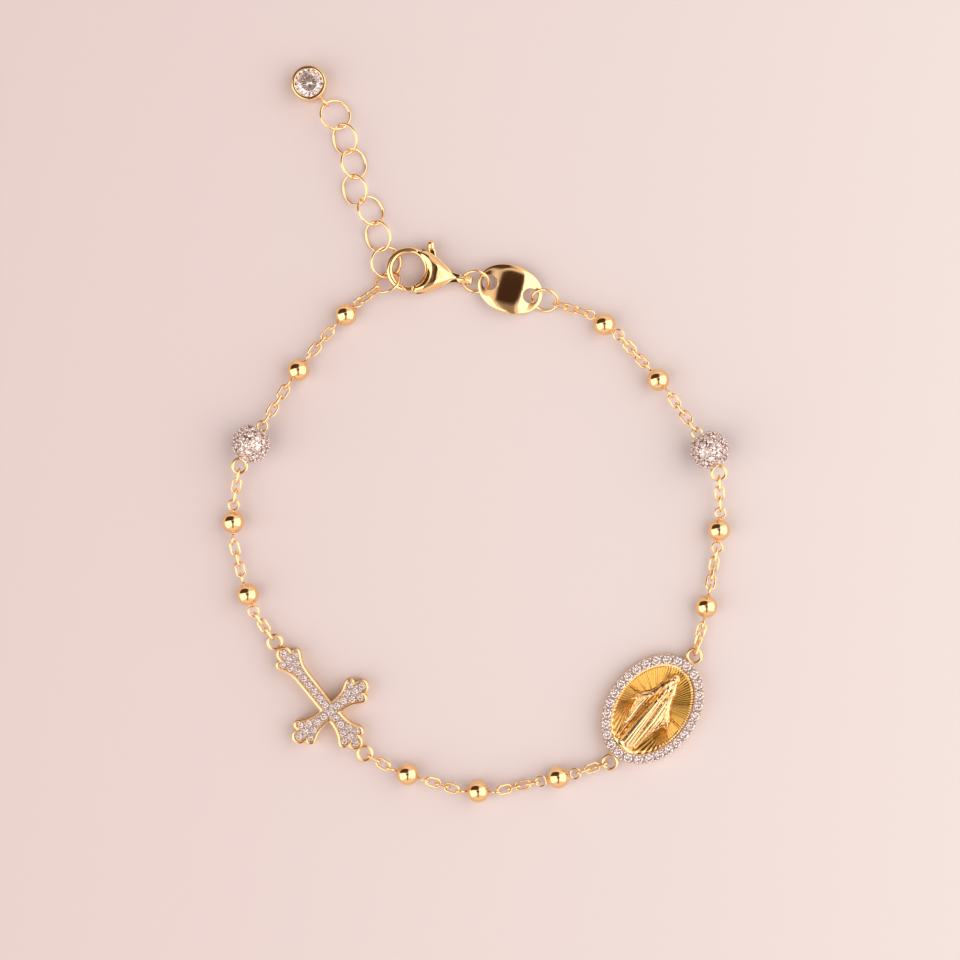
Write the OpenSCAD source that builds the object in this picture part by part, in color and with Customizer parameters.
// Devotional bracelet with an oval medal, a pave cross, two pave balls and eleven
// plain beads on fine cable chain, closed by a lobster clasp on a link extender.
// It lies on a flat surface, seen from above with +Y up the page.
// Lengths are millimetres. The origin is the middle of the bounding box at its lowest face.

/* [Fine chain] */
// Length of one cable link
link_len = 1.74; // [1.70:0.01:1.78]
// Width of one cable link
link_wid = 1.08; // [1.04:0.01:1.12]
// Thickness of the chain wire
link_wire = 0.23; // [0.20:0.01:0.24]

/* [Plain beads] */
// Diameter of a plain bead
bead_d = 2.3; // [2.1:0.05:2.35]
// Diameter of the hole through a bead
bead_bore = 0.5; // [0.4:0.05:0.8]
// Outer diameter of the eye at each end of a bead's pin
eye_d = 1.26; // [1.22:0.01:1.28]

/* [Pave balls] */
// Diameter of a pave ball over its stones
ball_d = 4.0; // [3.9:0.05:4.1]
// Diameter of the stones on a ball
ball_stone_d = 0.74; // [0.6:0.02:0.74]

/* [Medal] */
// Length of the medal without its eyelets
medal_len = 12.4; // [12.2:0.1:12.5]
// Width of the medal
medal_wid = 9.4; // [9.2:0.1:9.5]
// Width of the ring of stones round the medal
halo_w = 1.05; // [1.0:0.05:1.1]
// Number of stones round the medal
halo_stones = 28; // [24:1:28]
// Diameter of the stones round the medal
halo_stone_d = 0.98; // [0.8:0.02:0.98]

/* [Cross] */
// Length of the cross without its eyelets
cross_len = 13.2; // [13.0:0.1:13.3]
// Width of the cross across its arms
cross_wid = 9.6; // [9.5:0.1:9.8]
// Thickness of the raised rim of the cross
cross_rim = 0.2; // [0.15:0.01:0.22]

/* [Eyelets] */
// Outer diameter of the soldered eyelets
eyelet_d = 1.8; // [1.7:0.02:1.84]
// Thickness of the eyelets' wire
eyelet_wire = 0.34; // [0.28:0.02:0.36]

/* [Extender] */
// Outer diameter of an extender link
ext_d = 3.36; // [3.34:0.01:3.38]
// Thickness of the extender's wire
ext_wire = 0.27; // [0.22:0.01:0.27]
// Outer diameter of the drop at the extender's end
drop_d = 3.6; // [3.5:0.05:3.65]
// Diameter of the drop's stone
drop_stone_d = 3.0; // [2.8:0.05:3.0]

/* [Clasp and tag] */
// Outer diameter of the clasp's hook
hook_d = 4.74; // [4.70:0.01:4.78]
// Width of the hook's rounded bar
hook_bar = 0.72; // [0.66:0.01:0.74]
// Outer diameter of the jump rings
jump_d = 2.96; // [2.92:0.01:3.00]
// Thickness of the jump rings' wire
jump_wire = 0.3; // [0.26:0.01:0.31]
// Length of the tag
tag_len = 6.8; // [6.7:0.05:6.9]
// Width of the tag
tag_wid = 5.05; // [4.8:0.05:5.3]

/* [Hidden] */
$fn = 48;
GOLD = "#e3b65b";
RHODIUM = "#d9d9dc";
CRYSTAL = "#f2eef2";

// Stations of the loop on the surface, in order round the wrist: x, y
CARRIER = [-9.15, 15.66];
BALL_LEFT = [-23.1, -1.0];
CROSS = [-15.0, -28.5];
MEDAL = [18.15, -28.3];
BALL_RIGHT = [23.95, -1.65];
TAG_RING = [7.1, 13.8];
// Plain beads, in order round the loop: x, y
BEADS = [[-13.4, 12.3], [-18.3, 6.6], [-25.0, -9.05], [-23.5, -16.5], [-7.05, -35.0],
         [0.2, -36.76], [8.45, -35.32], [23.7, -17.75], [25.0, -9.85], [18.75, 5.6], [13.2, 11.3]];

// Directions on the surface, counterclockwise from +X
cross_turn = 129;
medal_turn = 51.5;
ball_left_turn = 243;
ball_right_turn = -67.5;
ball_left_rows = 240;
ball_right_rows = -59;
clasp_turn = -10.4;
tag_turn = -18.5;

// Heights of the middles above the surface
bead_z = bead_d / 2;
ball_z = ball_d / 2;
eyelet_z = 0.75;
tag_z = 1.05;
clasp_z = 1.10;

// Eyelets that are soldered to the cross, the medal and the balls
cross_long = cross_len - cross_wid / 2 - 0.05;
cross_short = cross_wid / 2 + 0.05;
solder = 0.12;
eyelet_r = eyelet_d / 2;
CROSS_TOP = CROSS + (cross_long + eyelet_r - solder) * aim(cross_turn);
CROSS_FOOT = CROSS - (cross_short + eyelet_r - solder) * aim(cross_turn);
MEDAL_TOP = MEDAL + (medal_len / 2 + eyelet_r - solder) * aim(medal_turn);
MEDAL_FOOT = MEDAL - (medal_len / 2 + eyelet_r - solder) * aim(medal_turn);
ball_eyelet_at = 2.53;
BALL_LEFT_EYELET = BALL_LEFT + ball_eyelet_at * aim(ball_left_turn);
BALL_RIGHT_EYELET = BALL_RIGHT + ball_eyelet_at * aim(ball_right_turn);

// Way round the loop, which gives each bead its direction
WAY = [CARRIER, BEADS[0], BEADS[1], BALL_LEFT, BEADS[2], BEADS[3], CROSS_TOP, CROSS_FOOT,
       BEADS[4], BEADS[5], BEADS[6], MEDAL_FOOT, MEDAL_TOP, BEADS[7], BEADS[8],
       BALL_RIGHT_EYELET, BALL_RIGHT, BEADS[9], BEADS[10], TAG_RING];
// Place of each bead in WAY
BEAD_IN_WAY = [1, 2, 4, 5, 8, 9, 10, 13, 14, 17, 18];

function aim(angle) = [cos(angle), sin(angle)];
function unit(v) = v / norm(v);
function heading(i) = unit(WAY[BEAD_IN_WAY[i] + 1] - WAY[BEAD_IN_WAY[i] - 1]);
function up(p, z) = [p.x, p.y, z];

// Reach of a link inside what it hangs in, from that ring's middle to the link's wire
play = 0.12;
eye_wire = 0.22;
eye_hold = eye_d / 2 - eye_wire - link_wire / 2 - play;
eyelet_hold = eyelet_r - eyelet_wire - link_wire / 2 - play;
jump_hold = jump_d / 2 - jump_wire - link_wire / 2 - play;
eye_at = bead_d / 2 + eye_d / 2 + 0.02;
ball_eye_at = ball_d / 2 + 0.18;

function bead_eye(i, side) = up(BEADS[i] + side * eye_at * heading(i), bead_z);
BALL_LEFT_EYE = up(BALL_LEFT + ball_eye_at * unit(BEADS[1] - BALL_LEFT), ball_z);
BALL_RIGHT_EYE = up(BALL_RIGHT + ball_eye_at * unit(BEADS[9] - BALL_RIGHT), ball_z);

// Lengths of fine chain: start, end, hold at start, hold at end, links, roll of the
// ring at the start and at the end about the chain, sag
SECTIONS = [
  [up(CARRIER, clasp_z), bead_eye(0, -1), jump_hold, eye_hold, 2, 40, 130, 0.1],
  [bead_eye(0, 1), bead_eye(1, -1), eye_hold, eye_hold, 3, 90, 90, 0.3],
  [bead_eye(1, 1), BALL_LEFT_EYE, eye_hold, eye_hold, 4, 90, 0, 0.15],
  [up(BALL_LEFT_EYELET, ball_z), bead_eye(2, -1), eyelet_hold, eye_hold, 3, 0, 0, 0],
  [bead_eye(2, 1), bead_eye(3, -1), eye_hold, eye_hold, 3, 90, 90, 0.3],
  [bead_eye(3, 1), up(CROSS_TOP, eyelet_z), eye_hold, eyelet_hold, 3, 0, 0, 0.1],
  [up(CROSS_FOOT, eyelet_z), bead_eye(4, -1), eyelet_hold, eye_hold, 2, 0, 90, 0.1],
  [bead_eye(4, 1), bead_eye(5, -1), eye_hold, eye_hold, 3, 90, 90, 0.3],
  [bead_eye(5, 1), bead_eye(6, -1), eye_hold, eye_hold, 4, 90, 0, 0.45],
  [bead_eye(6, 1), up(MEDAL_FOOT, eyelet_z), eye_hold, eyelet_hold, 3, 0, 0, 0.1],
  [up(MEDAL_TOP, eyelet_z), bead_eye(7, -1), eyelet_hold, eye_hold, 3, 0, 90, 0.1],
  [bead_eye(7, 1), bead_eye(8, -1), eye_hold, eye_hold, 4, 90, 0, 0.4],
  [bead_eye(8, 1), up(BALL_RIGHT_EYELET, ball_z), eye_hold, eyelet_hold, 3, 0, 0, 0],
  [BALL_RIGHT_EYE, bead_eye(9, -1), eye_hold, eye_hold, 4, 0, 90, 0.15],
  [bead_eye(9, 1), bead_eye(10, -1), eye_hold, eye_hold, 4, 90, 0, 0.4],
  [bead_eye(10, 1), up(TAG_RING, tag_z), eye_hold, jump_hold, 3, -40, -40, 0.1]];

// Small tools

// Puts a child at p, its X axis along the direction v, turned about v by roll
module toward(p, v, roll = 0) {
  translate(p)
    rotate([0, -atan2(v.z, norm([v.x, v.y])), atan2(v.y, v.x)])
      rotate([roll, 0, 0])
        children();
}

// A round ring of round wire, flat in XY
module ring(outer, wire) {
  rotate_extrude()
    translate([(outer - wire) / 2, 0])
      circle(d = wire, $fn = 24);
}

// One oval cable link, its length along X, flat in XY
module link(length, width, wire) {
  bend_r = (width - wire) / 2;
  straight = length - width;
  for (turn = [0, 180])
    rotate([0, 0, turn]) {
      translate([straight / 2, 0, 0])
        rotate([0, 0, -90])
          rotate_extrude(angle = 180)
            translate([bend_r, 0])
              circle(d = wire, $fn = 24);
      translate([-straight / 2, bend_r, 0])
        rotate([0, 90, 0])
          cylinder(d = wire, h = straight, $fn = 24);
    }
}

// A round-cut stone with its girdle at z = 0: table, crown, pavilion and culet
module stone(d, sides = 8, crown = 0.17, pavilion = 0.36, table = 0.6) {
  r = d / 2;
  table_pts = [for (k = [0 : sides - 1]) [table * r * cos(360 * k / sides), table * r * sin(360 * k / sides), crown * d]];
  girdle_pts = [for (k = [0 : sides - 1]) [r * cos(360 * (k + 0.5) / sides), r * sin(360 * (k + 0.5) / sides), 0]];
  polyhedron(
    points = concat(table_pts, girdle_pts, [[0, 0, -pavilion * d]]),
    faces = concat(
      [[for (k = [sides - 1 : -1 : 0]) k]],
      [for (k = [0 : sides - 1]) [k, (k + 1) % sides, sides + k]],
      [for (k = [0 : sides - 1]) [(k + 1) % sides, sides + (k + 1) % sides, sides + k]],
      [for (k = [0 : sides - 1]) [sides + k, sides + (k + 1) % sides, 2 * sides]]));
}

// An oval outline with half axes a and b
module oval(a, b, points = 80) {
  polygon([for (k = [0 : points - 1]) [a * cos(360 * k / points), b * sin(360 * k / points)]]);
}

// Fine chain and beads

full_pitch = link_len - 2 * link_wire - 0.1;
least_pitch = full_pitch - 0.24;

// Pitch of the links in a section, and what is left to hang back in the end rings
function span(s) = norm(s[1] - s[0]) - s[2] - s[3];
function spare(s) = (link_len - link_wire) + (s[4] - 1) * full_pitch - span(s);
function pitch(s) = max(least_pitch, full_pitch - spare(s) / (s[4] - 1));
function hang_back(s) = ((link_len - link_wire) + (s[4] - 1) * pitch(s) - span(s)) / 2;
function roll_step(s) = (s[6] - s[5] + 180 * round((90 * (s[4] + 1) - s[6] + s[5]) / 180)) / (s[4] + 1);
// Point of a section at distance t from its start: it leaves and arrives level, and sags between
function on_way(s, t) = let (f = t / norm(s[1] - s[0]), ease = f * f * (3 - 2 * f), p = s[0] + f * (s[1] - s[0]))
  up(p, s[0].z + ease * (s[1].z - s[0].z) - s[7] * 16 * pow(f * (1 - f), 2));

module chain_section(i) {
  s = SECTIONS[i];
  first = s[2] - hang_back(s);
  color(GOLD)
    for (k = [0 : s[4] - 1]) {
      a = on_way(s, first + k * pitch(s));
      b = on_way(s, first + k * pitch(s) + link_len - link_wire);
      toward((a + b) / 2, b - a, s[5] + (k + 1) * roll_step(s))
        link(link_len, link_wid, link_wire);
    }
}

// A bead's poles lie on its bore, so that no seam crosses the hole
module bead(i) {
  color(GOLD)
    toward(up(BEADS[i], bead_z), up(heading(i), 0))
      rotate([0, 90, 0])
        difference() {
          sphere(d = bead_d);
          cylinder(d = bead_bore, h = bead_d + 1, center = true);
        }
}

// Section that ends at a bead, counted from 0, the next section starts there
BEAD_SECTION = [0, 1, 3, 4, 6, 7, 8, 10, 11, 13, 14];
pin_d = 0.2;

// The pins through the beads, each with an eye at both ends
module bead_pins() {
  color(GOLD)
    for (i = [0 : len(BEADS) - 1])
      toward(up(BEADS[i], bead_z), up(heading(i), 0)) {
        rod = 2 * (eye_at - (eye_d - eye_wire) / 2);
        rotate([0, 90, 0])
          cylinder(d = pin_d, h = rod, center = true, $fn = 24);
        translate([-eye_at, 0, 0])
          rotate([SECTIONS[BEAD_SECTION[i]][6], 0, 0])
            ring(eye_d, eye_wire);
        translate([eye_at, 0, 0])
          rotate([SECTIONS[BEAD_SECTION[i] + 1][5], 0, 0])
            ring(eye_d, eye_wire);
      }
}

// Pave balls

ball_core_r = 1.44;
ball_girdle_r = ball_d / 2 - 0.17 * ball_stone_d;
// Rows of stones on a ball: latitude from its equator, stones in the row, turn of the row
BALL_ROWS = [[-56, 5, 0], [-28, 12, 15], [0, 12, 0], [28, 12, 15], [56, 5, 36]];
// Latitude of the prongs that stand between three stones
ball_prong_lat = 9.3;

module pave_ball(at, eyelet, eye, eyelet_turn, rows_turn) {
  color(RHODIUM)
    union() {
      // The core's poles lie under its two arms
      translate(up(at, ball_z))
        rotate([0, 90, rows_turn])
          sphere(r = ball_core_r);
      translate(up(at, ball_z))
        rotate([0, 0, rows_turn])
          // Prongs between the stones of the middle rows
          for (side = [-1, 1], k = [0 : 11])
            rotate([30 * (k + 0.5), 0, 0])
              rotate([0, 0, side * ball_prong_lat])
                translate([0, ball_core_r - 0.1, 0])
                  rotate([-90, 0, 0])
                    cylinder(d = 0.18, h = ball_girdle_r - ball_core_r + 0.14, $fn = 6);
      // Arm that carries the eyelet
      translate(up(at, ball_z))
        rotate([0, 90, eyelet_turn])
          cylinder(d = 0.5, h = ball_eyelet_at - eyelet_r + 0.2, $fn = 24);
      translate(up(eyelet, ball_z))
        ring(eyelet_d, eyelet_wire);
      toward(up(at, ball_z), eye - up(at, ball_z))
        rotate([0, 90, 0])
          cylinder(d = 0.3, h = ball_eye_at - (eye_d - eye_wire) / 2, $fn = 24);
      translate(eye)
        ring(eye_d, eye_wire);
    }
}

module ball_stones(at, rows_turn) {
  color(CRYSTAL)
    translate(up(at, ball_z))
      rotate([0, 0, rows_turn])
        for (row = BALL_ROWS, k = [0 : row[1] - 1])
          rotate([360 * k / row[1] + row[2], 0, 0])
            rotate([0, 0, row[0]])
              translate([0, ball_girdle_r, 0])
                rotate([-90, 0, 0])
                  stone(ball_stone_d);
}

// Medal

medal_a = medal_len / 2;
medal_b = medal_wid / 2;
disc_a = medal_a - halo_w;
disc_b = medal_b - halo_w;
halo_top = 1.15;
prong_top = 1.62;
disc_base = 0.75;

// Stones are spaced evenly along the middle of the halo
halo_a = medal_a - halo_w / 2;
halo_b = medal_b - halo_w / 2;
ARC_STEPS = 180;
function halo_point(t) = [halo_a * cos(t), halo_b * sin(t)];
function walk(k) = k == 0 ? 0 : norm(halo_point(360 * k / ARC_STEPS) - halo_point(360 * (k - 1) / ARC_STEPS));
function running(v, k = 0, sum = 0) = k == len(v) ? [] : concat([sum + v[k]], running(v, k + 1, sum + v[k]));
WALKED = running([for (k = [0 : ARC_STEPS]) walk(k)]);
ARC_TABLE = [for (k = [0 : ARC_STEPS]) [WALKED[k], 360 * k / ARC_STEPS]];
function halo_angle(share) = lookup(share * WALKED[ARC_STEPS], ARC_TABLE);
function halo_normal(t) = unit([cos(t) / halo_a, sin(t) / halo_b]);

module place_medal() {
  translate(up(MEDAL, 0))
    rotate([0, 0, medal_turn])
      children();
}

module medal_frame() {
  color(RHODIUM)
    place_medal()
      difference() {
        union() {
          linear_extrude(halo_top)
            oval(medal_a, medal_b);
          for (end = [-1, 1])
            translate([end * (medal_a + eyelet_r - solder), 0, eyelet_z])
              ring(eyelet_d, eyelet_wire);
          // A pair of prongs between each two stones
          for (k = [0 : halo_stones - 1], side = [-1, 1]) {
            t = halo_angle((k + 0.5) / halo_stones);
            translate(up(halo_point(t) + side * 0.39 * halo_normal(t), 1))
              cylinder(d = 0.24, h = prong_top - 1, $fn = 8);
          }
        }
        translate([0, 0, -1])
          linear_extrude(4)
            oval(disc_a + 0.03, disc_b + 0.03);
      }
}

module medal_stones() {
  color(CRYSTAL)
    place_medal()
      for (k = [0 : halo_stones - 1])
        translate(up(halo_point(halo_angle(k / halo_stones)), halo_top + 0.03 + 0.36 * halo_stone_d))
          stone(halo_stone_d);
}

// Relief of the disc: a robed and veiled figure, standing along the medal's long axis,
// v is up the figure and u is to its left side

function bump(x) = max(0, 1 - x * x);
function blend(x) = let (c = min(1, max(0, x))) c * c * (3 - 2 * c);

// Outline of the mantle: v, half width
MANTLE = [[-4.55, 1.25], [-3.6, 1.3], [-2.4, 1.45], [-1.2, 1.65], [-0.4, 1.75], [0.6, 1.55],
          [1.6, 1.1], [2.6, 0.85], [3.2, 0.62], [3.7, 0.58], [4.2, 0.4], [4.4, 0.1]];
mantle_rise = 0.42;
fold_rise = 0.07;
ray_rise = 0.07;
RAYS = 56;

function mantle(u, v) = let (w = lookup(v, MANTLE))
  (v < -4.6 || v > 4.45) ? 0 : mantle_rise * sqrt(bump(u / w)) * blend((v + 4.7) * 4);
function folds(u, v) = let (w = lookup(v, MANTLE))
  fold_rise * bump(u / w) * cos(560 * u + 60 * v) * blend((2.6 - v) / 1.5);
function robe_hollow(u, v) = -0.12 * bump(u / 0.35) * blend((1.8 - v) / 0.6) * blend(v + 4.6);
function head(u, v) = 0.62 * sqrt(max(0, 1 - pow(u / 0.46, 2) - pow((v - 3.72) / 0.58, 2)));
function hand(u, v, side) = 0.34 * sqrt(max(0, 1 - pow((u - side * 1.95) / 0.36, 2) - pow((v + 0.15) / 0.22, 2)));
function ray(u, v) = ray_rise * (0.5 + 0.5 * cos(RAYS * atan2(v, u)));
function rim_dish(rho) = 0.16 * blend((rho - 0.86) / 0.1);
function relief(rho, t) = let (v = disc_a * rho * cos(t), u = disc_b * rho * sin(t),
    figure = max(mantle(u, v) + folds(u, v) + robe_hollow(u, v), head(u, v), hand(u, v, -1), hand(u, v, 1)))
  disc_base + max(figure, ray(u, v) * blend(rho * 3 - 0.4)) + rim_dish(rho);

DISC_SPOKES = 84;
DISC_RINGS = 17;

module medal_disc() {
  centre = 0;
  function at(ring, spoke) = 1 + (ring - 1) * DISC_SPOKES + (spoke % DISC_SPOKES);
  edge = at(DISC_RINGS, 0);
  top = [for (r = [1 : DISC_RINGS], s = [0 : DISC_SPOKES - 1])
         let (rho = r / DISC_RINGS, t = 360 * s / DISC_SPOKES)
         [disc_a * rho * cos(t), disc_b * rho * sin(t), relief(rho, t)]];
  foot = [for (s = [0 : DISC_SPOKES - 1])
          let (t = 360 * s / DISC_SPOKES)
          [disc_a * cos(t), disc_b * sin(t), 0]];
  color(GOLD)
    place_medal()
      polyhedron(
        points = concat([[0, 0, relief(0, 0)]], top, foot),
        faces = concat(
          [for (s = [0 : DISC_SPOKES - 1]) [centre, at(1, s + 1), at(1, s)]],
          [for (r = [1 : DISC_RINGS - 1], s = [0 : DISC_SPOKES - 1]) [at(r, s), at(r, s + 1), at(r + 1, s)]],
          [for (r = [1 : DISC_RINGS - 1], s = [0 : DISC_SPOKES - 1]) [at(r, s + 1), at(r + 1, s + 1), at(r + 1, s)]],
          [for (s = [0 : DISC_SPOKES - 1])
            [at(DISC_RINGS, s), at(DISC_RINGS, s + 1), edge + DISC_SPOKES + (s + 1) % DISC_SPOKES, edge + DISC_SPOKES + s]],
          [[for (s = [0 : DISC_SPOKES - 1]) edge + DISC_SPOKES + s]]));
}

// Cross

cross_plate = 0.85;
cross_top = 1.5;
lobe_r = 0.8;
stem_w = 0.75;
// Half width of an arm at a distance from its tip: distance, half width
ARM = [[0.95, 1.5], [1.4, 1.46], [1.9, 1.33], [2.4, 1.08], [2.9, 0.9], [3.6, 0.79]];

// One arm from the crossing to its lobed tip, narrowed all round by inset
module arm(length, inset) {
  right = [for (p = ARM) [p[1] - inset, length - p[0] - (p[0] < 1 ? inset : 0)]];
  polygon(concat([[stem_w - inset, 0]], [for (i = [len(right) - 1 : -1 : 0]) right[i]],
                 [for (p = right) [-p.x, p.y]], [[-stem_w + inset, 0]]));
  translate([0, length - lobe_r])
    circle(r = lobe_r - inset, $fn = 40);
}

module cross_shape(inset) {
  arm(cross_long, inset);
  for (turn = [90, 180, 270])
    rotate(turn)
      arm(cross_short, inset);
  square(2 * (stem_w - inset), center = true);
}

module place_cross() {
  translate(up(CROSS, 0))
    rotate([0, 0, cross_turn - 90])
      children();
}

module cross_frame() {
  color(GOLD)
    place_cross()
      difference() {
        union() {
          linear_extrude(cross_top)
            cross_shape(0);
          for (y = [cross_long + eyelet_r - solder, -cross_short - eyelet_r + solder])
            translate([0, y, eyelet_z])
              ring(eyelet_d, eyelet_wire);
        }
        translate([0, 0, cross_plate])
          linear_extrude(1)
            cross_shape(cross_rim);
      }
}

// Stones at an arm's end: distance from the tip, offset, diameter
ARM_STONES = [[0.66, 0, 0.76], [1.56, -0.82, 0.7], [1.56, 0, 0.7], [1.56, 0.82, 0.7],
              [2.32, -0.42, 0.72], [2.32, 0.42, 0.72]];
stem_stone = 0.76;
stem_pitch = 0.86;
stem_end = 3.12;

module cross_stone(p, d) {
  translate(up(p, cross_plate + 0.03 + 0.36 * d))
    stone(d);
}

module arm_stones(length) {
  count = floor((length - stem_end) / stem_pitch);
  for (s = ARM_STONES)
    cross_stone([s[1], length - s[0]], s[2]);
  for (k = [1 : count])
    cross_stone([0, k * (length - stem_end) / count], stem_stone);
}

module cross_stones() {
  color(CRYSTAL)
    place_cross() {
      cross_stone([0, 0], stem_stone);
      arm_stones(cross_long);
      for (turn = [90, 180, 270])
        rotate([0, 0, turn])
          arm_stones(cross_short);
    }
}

// Clasp

CLASP = [-6.9, 16.94];
// Pivot of the lever, in the clasp's own frame
PIVOT = [2.1, -1.25];
hook_mid_r = (hook_d - hook_bar) / 2;
hook_thick = 1.06;
lever_thick = 0.66;
slot_thick = 0.84;
pivot_pin_d = 0.44;
pivot_bore_d = 0.56;
// The seam between hook and gate runs on a circle about the pivot, so that the gate swings clear
seam_r = 2.38;
seam_gap = 0.06;
hook_end = 268;
gate_start = -97;
gate_sweep = 28.5;
// Half width of the clasp's body along its axis: x, half width
BODY = [[0.95, 2.3], [1.25, 2.3], [1.8, 2.15], [2.4, 1.86], [3.0, 1.5], [3.6, 1.15],
        [4.15, 0.76], [4.45, 0.52], [5.3, 0.44]];
// Half thickness of the body along its axis: x, half thickness
BODY_SIDE = [[0.9, 0.72], [1.8, 0.9], [2.8, 0.98], [3.8, 0.84], [4.6, 0.62], [5.3, 0.5]];
tail_at = 5.75;
tail_d = 1.8;
tail_bore = 1.3;
tail_w = 0.78;

module place_clasp() {
  translate(up(CLASP, clasp_z))
    rotate([0, 0, clasp_turn])
      children();
}

// Section of the hook's bar, taller than it is wide
module bar_section(width, height) {
  for (end = [-1, 1])
    translate([hook_mid_r, end * (height - width) / 2])
      circle(d = width, $fn = 32);
  translate([hook_mid_r - width / 2, -(height - width) / 2])
    square([width, height - width]);
}

function mirrored(v) = concat(v, [for (i = [len(v) - 1 : -1 : 0]) [v[i].x, -v[i].y]]);

// Room for the lever between the two cheeks of the body, open above, below and to the hook
SLOT = [[0.5, -3.2], [0.5, -1.3], [1.1, -1.12], [1.45, -0.7], [1.95, -0.35], [2.08, 0.4], [1.95, 1.35],
        [1.6, 2.1], [1.45, 3.2], [3.75, 3.2], [3.75, 1.5], [3.35, -0.2], [3.0, -1.2], [2.9, -3.2]];

// The lever's side of the seam, at the hook's end only
module seam(r) {
  intersection() {
    translate([PIVOT.x, PIVOT.y, -2])
      cylinder(r = r, h = 4, $fn = 96);
    translate([-hook_d, -hook_d, -2])
      cube([hook_d + 0.5, hook_d, 4]);
  }
}

module clasp_hook() {
  color(GOLD)
    place_clasp()
      union() {
        difference() {
          union() {
            difference() {
              rotate_extrude(angle = hook_end + 15, start = -15)
                bar_section(hook_bar, hook_thick);
              seam(seam_r + seam_gap);
            }
            intersection() {
              translate([0, 0, -2])
                linear_extrude(4)
                  polygon(mirrored(BODY));
              rotate([90, 0, 0])
                translate([0, 0, -4])
                  linear_extrude(8)
                    polygon(mirrored(BODY_SIDE));
            }
            translate([tail_at, tail_w / 2, 0])
              rotate([90, 0, 0])
                cylinder(d = tail_d, h = tail_w, $fn = 40);
          }
          cylinder(r = hook_mid_r - hook_bar / 2, h = 4, center = true);
          translate([0, 0, -slot_thick / 2])
            linear_extrude(slot_thick)
              polygon(SLOT);
          translate([tail_at, 1, 0])
            rotate([90, 0, 0])
              cylinder(d = tail_bore, h = 2, $fn = 32);
        }
        translate([PIVOT.x, PIVOT.y, -0.7])
          cylinder(d = pivot_pin_d, h = 1.4, $fn = 32);
      }
}

gate_bar = hook_bar - 0.06;
// Side of the lever from the pivot to the thumb tab: x, y
LEVER = [[1.72, -1.0], [2.18, -0.3], [2.24, 0.3], [2.1, 1.4], [1.68, 2.2], [1.38, 2.6], [2.0, 2.85],
         [2.36, 2.3], [2.62, 1.5], [2.78, 0.3], [2.7, -0.7], [2.62, -1.2], [2.4, -1.72], [1.7, -1.75]];

module clasp_lever() {
  color(GOLD)
    place_clasp()
      difference() {
        union() {
          intersection() {
            rotate_extrude(angle = gate_sweep, start = gate_start)
              bar_section(gate_bar, hook_thick - 0.1);
            translate([PIVOT.x, PIVOT.y, -2])
              cylinder(r = seam_r, h = 4, $fn = 96);
          }
          rotate_extrude(angle = 42, start = gate_start + gate_sweep - 2)
            translate([hook_mid_r - gate_bar / 2, -lever_thick / 2])
              square([gate_bar, lever_thick]);
          translate([0, 0, -lever_thick / 2])
            linear_extrude(lever_thick)
              polygon(LEVER);
          translate([PIVOT.x, PIVOT.y, -lever_thick / 2])
            cylinder(d = 1.2, h = lever_thick, $fn = 40);
          // Thumb tab
          translate([1.79, 2.86, 0])
            rotate([0, 0, 14])
              translate([0, 0, -0.5])
                linear_extrude(1.0)
                  union() {
                    translate([0, 0.13])
                      circle(d = 0.84, $fn = 32);
                    translate([-0.42, -0.35])
                      square([0.84, 0.48]);
                  }
        }
        translate([PIVOT.x, PIVOT.y, -2])
          cylinder(d = pivot_bore_d, h = 4, $fn = 32);
      }
}

// Jump rings and tag

ring_roll = 40;
TAG = [3.5, 14.95];
tag_thick = 0.5;
tag_hole_at = 2.2;
tag_hole_d = 1.6;
CLASP_RING = [-0.03, 15.72];

module jump_ring(at, direction) {
  color(GOLD)
    toward(up(at, tag_z), up(aim(direction), 0), ring_roll)
      ring(jump_d, jump_wire);
}

module tag() {
  a = tag_len / 2;
  b = tag_wid / 2;
  color(GOLD)
    translate(up(TAG, tag_z))
      rotate([0, 0, tag_turn])
        difference() {
          union() {
            translate([0, 0, -tag_thick / 2])
              linear_extrude(tag_thick - 0.1)
                oval(a, b);
            translate([0, 0, tag_thick / 2 - 0.11])
              linear_extrude(0.11)
                oval(a - 0.1, b - 0.1);
            // Polished field, raised in the middle of both faces
            translate([0, 0, -tag_thick / 2 - 0.12])
              linear_extrude(tag_thick + 0.24)
                intersection() {
                  oval(a - 0.5, b - 0.5);
                  square([2.3, tag_wid], center = true);
                }
          }
          for (side = [-1, 1])
            translate([side * tag_hole_at, 0, -2])
              cylinder(d = tag_hole_d, h = 4);
        }
}

// Extender

// Extender links from the drop to the clasp: x, y, height, direction, roll
EXTENDER = [
  [-14.50, 32.92, 0.92, -52, -20],
  [-13.50, 30.41, 1.14, -69, 40],
  [-12.59, 27.87, 1.14, -79, -40],
  [-12.48, 25.17, 1.14, -70, 40],
  [-10.84, 23.02, 1.14, -65, -40],
  [-10.08, 20.38, 1.09, -67.2, 37.1],
  [-9.28, 17.76, 0.66, 69, 18.6]];
carrier_d = 2.96;
carrier_roll = -45;
carrier_heading = 29.6;

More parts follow.
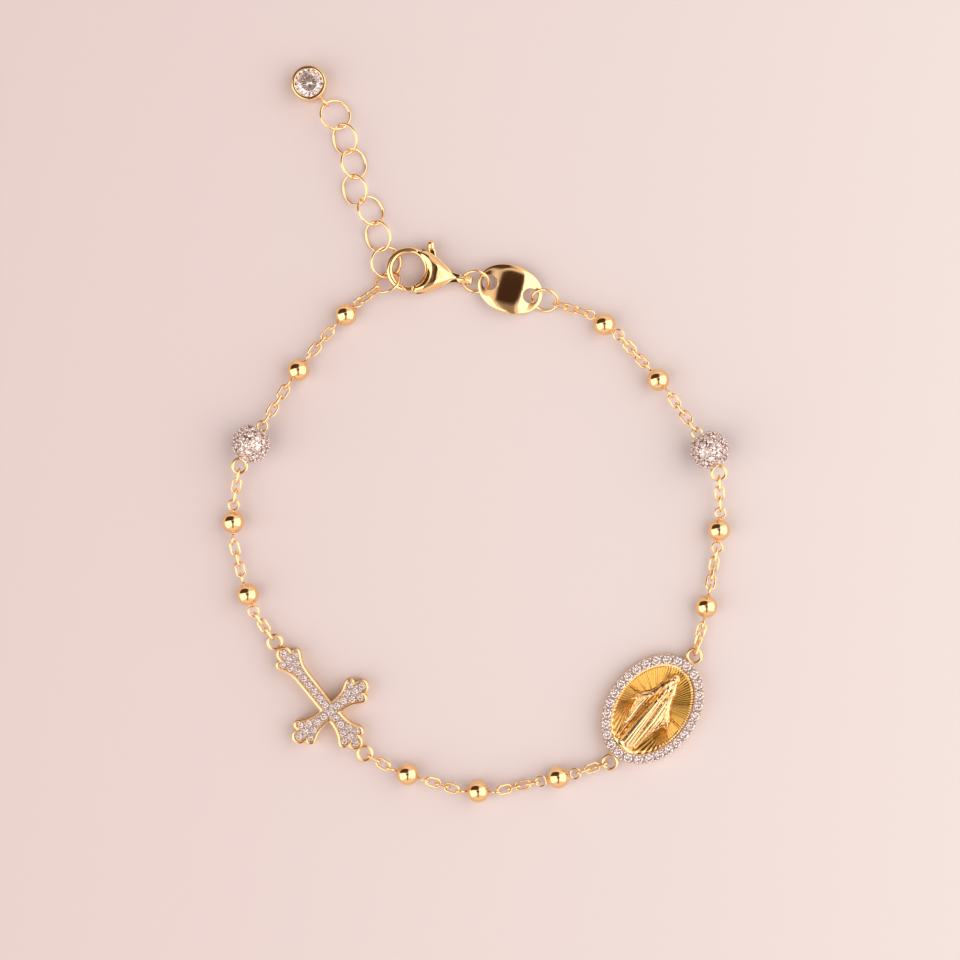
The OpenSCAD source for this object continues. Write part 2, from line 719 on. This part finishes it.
module extender_link(i) {
  color(GOLD)
    if (i == 8)
      toward(up(CARRIER, clasp_z), up(aim(carrier_heading), 0), carrier_roll)
        ring(carrier_d, ext_wire);
    else {
      p = EXTENDER[i - 1];
      toward([p[0], p[1], p[2]], up(aim(p[3]), 0), p[4])
        ring(ext_d, ext_wire);
    }
}

// End drop

DROP = [-17.2, 36.11];
drop_h = 1.9;
bail_d = 1.5;
bail_wire = 0.26;
bail_z = 0.86;
drop_girdle = 1.42;

module end_bezel() {
  r = drop_d / 2;
  stone_r = drop_stone_d / 2;
  reach = r + bail_d / 2 - 0.16;
  way = unit([EXTENDER[0][0], EXTENDER[0][1]] - DROP);
  color(GOLD)
    union() {
      translate(up(DROP, 0))
        rotate_extrude($fn = 64)
          polygon([[0.5, 0], [r - 0.15, 0], [r, 0.15], [r, drop_h - 0.12], [r - 0.08, drop_h],
                   [stone_r - 0.06, drop_h], [stone_r - 0.06, drop_h - 0.12], [stone_r + 0.05, drop_girdle + 0.1],
                   [stone_r + 0.05, drop_girdle - 0.08], [0.5, 0.3]]);
      toward(up(DROP + reach * way, bail_z), up(way, 0), 90)
        ring(bail_d, bail_wire);
    }
}

module end_stone() {
  color(CRYSTAL)
    translate(up(DROP, drop_girdle + 0.02))
      stone(drop_stone_d, sides = 16, crown = 0.15, pavilion = 0.34);
}

clasp_hook();
clasp_lever();
jump_ring(CLASP_RING, -9);  // clasp_ring
tag();
jump_ring(TAG_RING, -18);  // tag_ring
medal_frame();
medal_disc();
medal_stones();
cross_frame();
cross_stones();
pave_ball(BALL_LEFT, BALL_LEFT_EYELET, BALL_LEFT_EYE, ball_left_turn, ball_left_rows);  // pave_ball_left
ball_stones(BALL_LEFT, ball_left_rows);  // ball_stones_left
pave_ball(BALL_RIGHT, BALL_RIGHT_EYELET, BALL_RIGHT_EYE, ball_right_turn, ball_right_rows);  // pave_ball_right
ball_stones(BALL_RIGHT, ball_right_rows);  // ball_stones_right
bead_pins();
end_bezel();
end_stone();
for (i = [1 : len(BEADS)])
  bead(i - 1);
for (i = [1 : len(SECTIONS)])
  chain_section(i - 1);
for (i = [1 : 8])
  extender_link(i);
